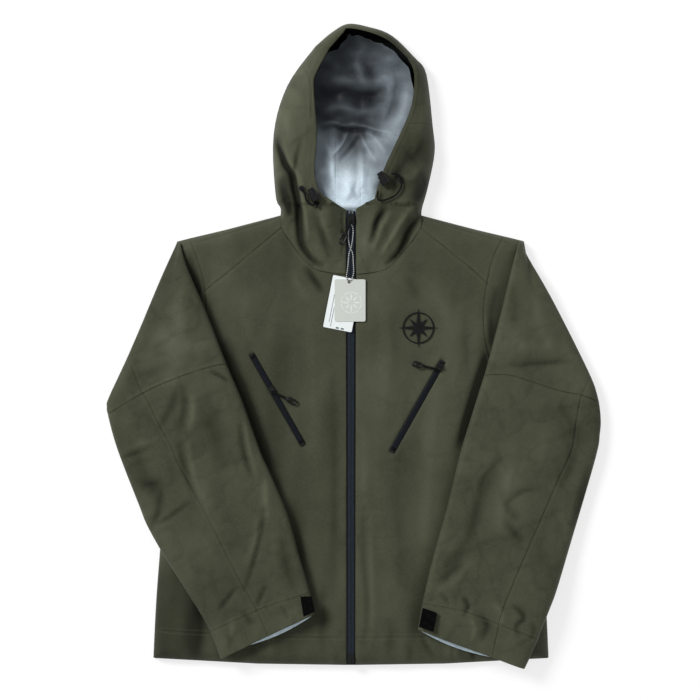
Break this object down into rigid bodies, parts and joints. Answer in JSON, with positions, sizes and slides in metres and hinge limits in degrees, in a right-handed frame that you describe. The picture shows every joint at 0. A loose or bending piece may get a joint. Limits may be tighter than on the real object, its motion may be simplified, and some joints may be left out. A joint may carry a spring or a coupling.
{
  "type": "hooded hardshell jacket",
  "caption": "Hooded waterproof shell jacket lying flat with its sleeves over the front, with a main zip, hand pocket zips, cord locks, cuff tabs and hang tags.",
  "frame": {"origin": "on the underside of the back, on the middle line of the jacket, level with the top of the hand pockets", "axes": "+X towards the wearer's left, +Y towards the hood, +Z out of the front, away from the surface it lies on"},
  "size_m": [0.789, 1.026, 0.0646],
  "materials": {
    "shell": "matt woven face fabric, laminated, faint sheen",
    "lining": "thin silver-grey backer fabric, satin",
    "seam_tape": "welded seam tape, satin",
    "zip_tape": "water-repellent laminated tape, matt",
    "zip_coil": "nylon coil",
    "zip_metal": "moulded, polished",
    "zip_stops": "welded end stop",
    "slider": "die-cast, gloss black lacquer",
    "pull_grip": "soft moulded grip on a cord",
    "pocket_mesh": "fine knitted mesh",
    "thread": "satin stitch embroidery",
    "loop_patch": "hook-and-loop patch",
    "cuff_tab": "moulded tab with a hook face",
    "cord": "braided elastic cord",
    "eyelet": "moulded ring",
    "cord_lock": "moulded cord lock",
    "lock_button": "moulded push button",
    "spring_steel": "spring wire",
    "tag_string": "twisted black and white thread",
    "tag_front": "thick uncoated card, stands in for paper",
    "tag_back": "coated card, stands in for paper"
  },
  "bodies": {
    "body": {"back_panel": "shell", "front_right": "shell", "front_left": "shell", "yoke_right": "shell", "yoke_left": "shell", "hem_facing_back": "lining", "hem_facing_right": "lining", "hem_facing_left": "lining", "storm_flap": "shell", "collar_right": "shell", "collar_left": "shell", "collar_lining": "lining", "main_tape_right": "zip_tape", "main_tape_left": "zip_tape", "main_chain_right": "zip_coil", "main_chain_left": "zip_coil", "main_top_stops": "zip_metal", "main_zip_box": "zip_metal", "pocket_tape_right": "zip_tape", "pocket_tape_left": "zip_tape", "pocket_chain_right": "zip_coil", "pocket_chain_left": "zip_coil", "pocket_zip_stops": "zip_stops", "pocket_bag_right": "pocket_mesh", "pocket_bag_left": "pocket_mesh", "chest_emblem": "thread"},
    "main_slider": {"main_slider": "slider", "tag_string": "tag_string"},
    "main_pull": {"main_pull": "pull_grip"},
    "pocket_slider_right": {"pocket_slider_right": "slider"},
    "pocket_slider_left": {"pocket_slider_left": "slider"},
    "pocket_pull_right": {"pocket_pull_right": "pull_grip"},
    "pocket_pull_left": {"pocket_pull_left": "pull_grip"},
    "upper_sleeve_right": {"upper_sleeve_right": "shell"},
    "upper_sleeve_left": {"upper_sleeve_left": "shell"},
    "forearm_right": {"forearm_right": "shell", "cuff_right": "shell", "cuff_base_right": "loop_patch"},
    "forearm_left": {"forearm_left": "shell", "cuff_left": "shell", "cuff_base_left": "loop_patch"},
    "cuff_tab_right": {"cuff_tab_right": "cuff_tab"},
    "cuff_tab_left": {"cuff_tab_left": "cuff_tab"},
    "hood": {"hood_back": "shell", "hood_side_right": "shell", "hood_side_left": "shell", "hood_brim": "shell", "hood_lining": "lining", "hood_seam_tapes": "seam_tape", "hood_drawcord": "cord", "hood_eyelets": "eyelet", "cord_lock_right": "cord_lock", "cord_lock_left": "cord_lock", "lock_springs": "spring_steel", "cord_end_right": "cord", "cord_loop_left": "cord"},
    "lock_button_right": {"lock_button_right": "lock_button"},
    "lock_button_left": {"lock_button_left": "lock_button"},
    "tag_front": {"tag_front": "tag_front"},
    "tag_back": {"tag_back": "tag_back"}
  },
  "joints": [
    {"name": "main_zip", "type": "slide", "parent": "body", "child": "main_slider", "axis": [0, -1, 0], "range_m": [0, 0.68]},
    {"name": "main_pull_turn", "type": "hinge", "parent": "main_slider", "child": "main_pull", "pos_m": [0, 0.2, 0.0322], "axis": [-1, 0, 0], "range_deg": [0, 150]},
    {"name": "pocket_zip_right", "type": "slide", "parent": "body", "child": "pocket_slider_right", "axis": [0.4955, -0.8686, 0], "range_m": [-0.056, 0.092]},
    {"name": "pocket_zip_left", "type": "slide", "parent": "body", "child": "pocket_slider_left", "axis": [-0.4909, -0.8712, 0], "range_m": [0, 0.146]},
    {"name": "pocket_pull_right_turn", "type": "hinge", "parent": "pocket_slider_right", "child": "pocket_pull_right", "pos_m": [-0.126, -0.07, 0.0322], "axis": [-0.8686, -0.4955, 0], "range_deg": [0, 120]},
    {"name": "pocket_pull_left_turn", "type": "hinge", "parent": "pocket_slider_left", "child": "pocket_pull_left", "pos_m": [0.141, -0.034, 0.0322], "axis": [-0.8712, 0.4909, 0], "range_deg": [0, 120]},
    {"name": "shoulder_right", "type": "hinge", "parent": "body", "child": "upper_sleeve_right", "pos_m": [-0.24, 0.095, 0.03], "axis": [0, 0, -1], "range_deg": [0, 45]},
    {"name": "shoulder_left", "type": "hinge", "parent": "body", "child": "upper_sleeve_left", "pos_m": [0.24, 0.095, 0.03], "axis": [0, 0, 1], "range_deg": [0, 45]},
    {"name": "elbow_right", "type": "hinge", "parent": "upper_sleeve_right", "child": "forearm_right", "pos_m": [-0.292, -0.08, 0.03], "axis": [0, 0, -1], "range_deg": [0, 40]},
    {"name": "elbow_left", "type": "hinge", "parent": "upper_sleeve_left", "child": "forearm_left", "pos_m": [0.3, -0.075, 0.03], "axis": [0, 0, 1], "range_deg": [0, 40]},
    {"name": "cuff_tab_right_peel", "type": "hinge", "parent": "forearm_right", "child": "cuff_tab_right", "pos_m": [-0.0595, -0.408, 0.0553], "axis": [-0.204, 0.979, 0], "range_deg": [0, 100]},
    {"name": "cuff_tab_left_peel", "type": "hinge", "parent": "forearm_left", "child": "cuff_tab_left", "pos_m": [0.11, -0.429, 0.0553], "axis": [-0.1959, -0.9806, 0], "range_deg": [0, 100]},
    {"name": "hood_fold", "type": "hinge", "parent": "body", "child": "hood", "pos_m": [0, 0.2198, 0.05], "axis": [1, 0, 0], "range_deg": [0, 75]},
    {"name": "lock_press_right", "type": "slide", "parent": "hood", "child": "lock_button_right", "axis": [0.5, -0.866, 0], "range_m": [0, 0.003], "stiffness_N_per_m": 300, "springref_m": -0.003},
    {"name": "lock_press_left", "type": "slide", "parent": "hood", "child": "lock_button_left", "axis": [0.5736, -0.8191, 0], "range_m": [0, 0.003], "stiffness_N_per_m": 300, "springref_m": -0.003},
    {"name": "tag_front_swing", "type": "hinge", "parent": "main_slider", "child": "tag_front", "pos_m": [-0.003, 0.101, 0.0298], "axis": [0, 0, 1], "range_deg": [-12, 12]},
    {"name": "tag_back_swing", "type": "hinge", "parent": "main_slider", "child": "tag_back", "pos_m": [-0.003, 0.101, 0.0288], "axis": [0, 0, 1], "range_deg": [-10, 10]}
  ]
}
